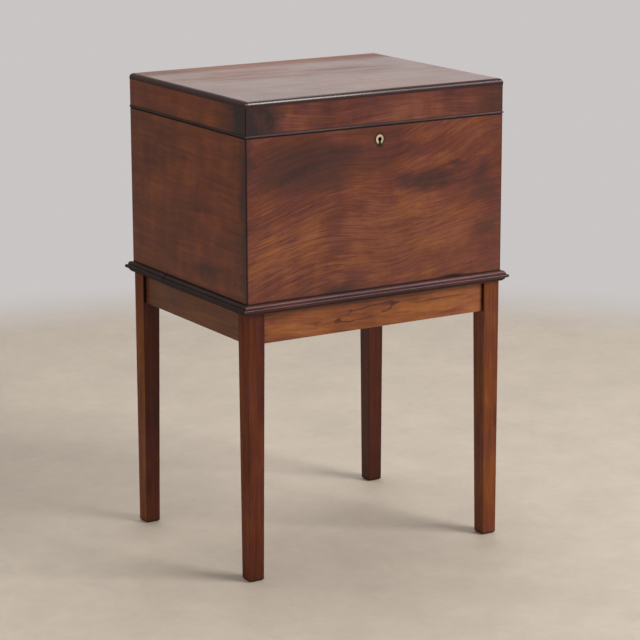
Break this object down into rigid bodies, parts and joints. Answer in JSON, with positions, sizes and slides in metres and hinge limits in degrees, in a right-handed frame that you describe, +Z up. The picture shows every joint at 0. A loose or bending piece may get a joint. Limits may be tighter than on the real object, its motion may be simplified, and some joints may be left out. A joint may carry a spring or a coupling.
{
  "type": "cellarette",
  "caption": "Mahogany cellarette: a box with a hinged, lockable lid and bottle divisions, on a stand with tapered legs and a moulded edge.",
  "frame": {"origin": "centre of the footprint, on the floor", "axes": "+X to the right along the front, +Y towards the hinged back, +Z up; the front faces -Y"},
  "size_m": [0.501, 0.405, 0.771],
  "materials": {
    "case_wood": "figured mahogany, wax polished",
    "lid_wood": "mahogany, wax polished",
    "bead_wood": "mahogany, worn polish",
    "stand_wood": "mahogany, wax polished",
    "moulding_wood": "dark mahogany, wax polished",
    "divider_wood": "mahogany, unpolished",
    "inner_wood": "pine and oak, unfinished",
    "brass": "aged, unlacquered",
    "steel": "dull iron and steel"
  },
  "bodies": {
    "stand": {"leg_front_left": "stand_wood", "leg_front_right": "stand_wood", "leg_back_right": "stand_wood", "leg_back_left": "stand_wood", "rail_front": "stand_wood", "rail_right": "stand_wood", "rail_back": "stand_wood", "rail_left": "stand_wood", "corner_blocks": "inner_wood", "moulding_front": "moulding_wood", "moulding_right": "moulding_wood", "moulding_back": "moulding_wood", "moulding_left_fore": "moulding_wood", "moulding_left_rear": "moulding_wood"},
    "case": {"case_front": "case_wood", "case_right": "case_wood", "case_back": "case_wood", "case_left": "case_wood", "case_bottom": "inner_wood", "case_tongues": "inner_wood", "bottom_brads": "steel", "cross_divider_1": "divider_wood", "cross_divider_2": "divider_wood", "cross_divider_3": "divider_wood", "long_divider_1": "divider_wood", "long_divider_2": "divider_wood", "hinge_case_leaves": "brass", "hinge_pins": "brass", "hinge_case_screws": "brass", "lock_plate": "brass", "lock_cap": "brass", "lock_drill_pin": "steel", "lock_screws": "brass", "key_escutcheon": "brass"},
    "lid": {"lid_top": "lid_wood", "lid_front": "lid_wood", "lid_right": "lid_wood", "lid_back": "lid_wood", "lid_left": "lid_wood", "lid_bead_front": "bead_wood", "lid_bead_left": "bead_wood", "lid_bead_right": "bead_wood", "lid_tongues": "inner_wood", "hinge_lid_leaves": "brass", "hinge_lid_screws": "brass", "link_plate": "brass", "link_plate_screws": "brass"},
    "bolt": {"lock_bolt": "steel", "bolt_spring": "steel"}
  },
  "joints": [
    {"name": "case_lift", "type": "slide", "parent": "stand", "child": "case", "axis": [0, 0, 1], "range_m": [0, 0.05]},
    {"name": "lid_hinge", "type": "hinge", "parent": "case", "child": "lid", "pos_m": [0, 0.1957, 0.7142], "axis": [-1, 0, 0], "range_deg": [0, 95]},
    {"name": "bolt_slide", "type": "slide", "parent": "case", "child": "bolt", "axis": [1, 0, 0], "range_m": [0, 0.007]}
  ]
}
